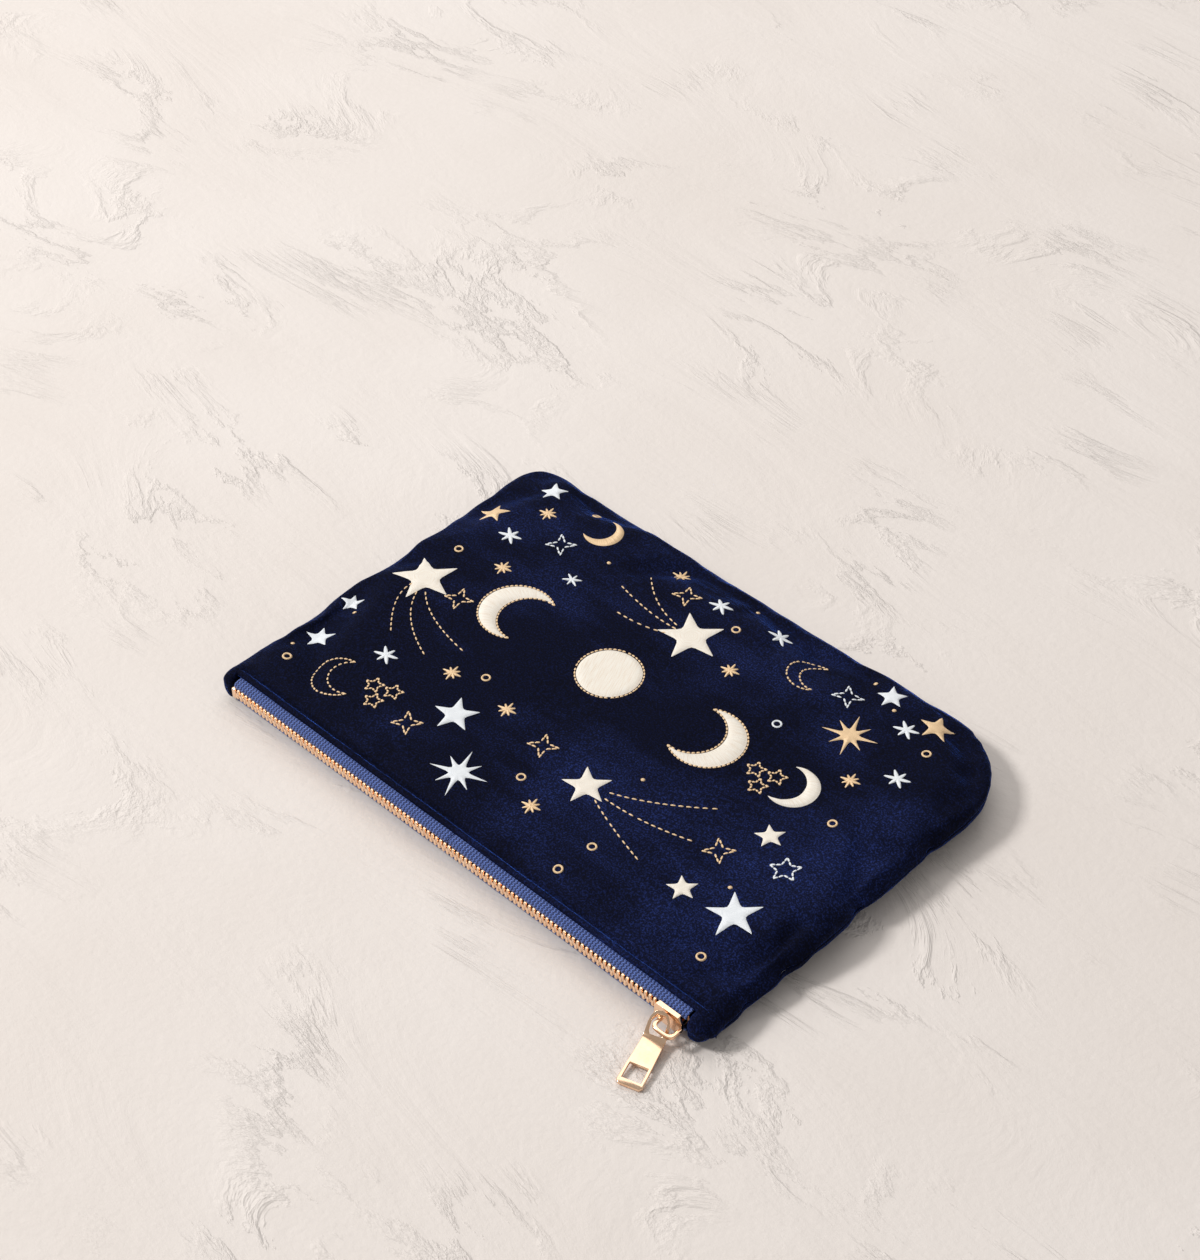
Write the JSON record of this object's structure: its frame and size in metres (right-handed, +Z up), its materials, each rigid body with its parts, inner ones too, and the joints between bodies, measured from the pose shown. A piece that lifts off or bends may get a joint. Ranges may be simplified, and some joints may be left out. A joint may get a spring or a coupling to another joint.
{
  "type": "zippered pouch",
  "caption": "Flat padded velvet pouch with rounded bottom corners, a metal zip along one long edge and raised embroidery on its front.",
  "frame": {"origin": "centre of the flat back that the pouch lies on", "axes": "+X along the zip towards its closed end, +Y from the zip to the bottom seam, +Z up through the embroidered front"},
  "size_m": [0.248, 0.1992, 0.0146],
  "materials": {
    "velvet": "short pile velvet",
    "wadding": "soft fibre wadding",
    "lining": "plain woven lining",
    "zip_tape": "woven tape",
    "rose_gold": "polished rose gold plate",
    "gold_thread": "satin stitch, metallic gold",
    "silver_thread": "satin stitch, metallic silver"
  },
  "bodies": {
    "back": {"velvet_back": "velvet", "end_tab_left": "velvet", "end_tab_right": "velvet", "wadding_back": "wadding", "lining_back": "lining", "zip_tape_back": "zip_tape", "tooth_row_back": "rose_gold", "bottom_stop": "rose_gold", "top_stop_back": "rose_gold"},
    "front": {"velvet_front": "velvet", "wadding_front": "wadding", "lining_front": "lining", "zip_tape_front": "zip_tape", "tooth_row_front": "rose_gold", "top_stop_front": "rose_gold", "embroidery_moon_left": "gold_thread", "embroidery_moon_full": "gold_thread", "embroidery_moon_right": "gold_thread", "embroidery_comet_left": "silver_thread", "embroidery_comet_base": "silver_thread", "embroidery_comet_mouth": "silver_thread", "embroidery_star_left": "silver_thread", "embroidery_star_corner": "silver_thread", "embroidery_burst_silver": "silver_thread", "embroidery_burst_gold": "gold_thread", "embroidery_crescent_gold": "gold_thread", "embroidery_crescent_cream": "gold_thread"},
    "slider": {"slider_body": "rose_gold", "slider_crown": "rose_gold"},
    "pull": {"pull_tab": "rose_gold"}
  },
  "joints": [
    {"name": "slider_slide", "type": "slide", "parent": "back", "child": "slider", "axis": [-1, 0, 0], "range_m": [0, 0.2095], "deforming": ["tooth_row_front", "tooth_row_back"]},
    {"name": "mouth_open", "type": "hinge", "parent": "back", "child": "front", "pos_m": [0, 0.085, 0.006], "axis": [-1, 0, 0], "range_deg": [0, 8]},
    {"name": "pull_swing", "type": "hinge", "parent": "slider", "child": "pull", "pos_m": [0.1034, -0.0909, 0.0066], "axis": [0, 0, 1], "range_deg": [-18, 9]}
  ],
  "couplings": [
    {"joint": "mouth_open", "follows": "slider_slide", "rad_per_m": 0.66647}
  ]
}
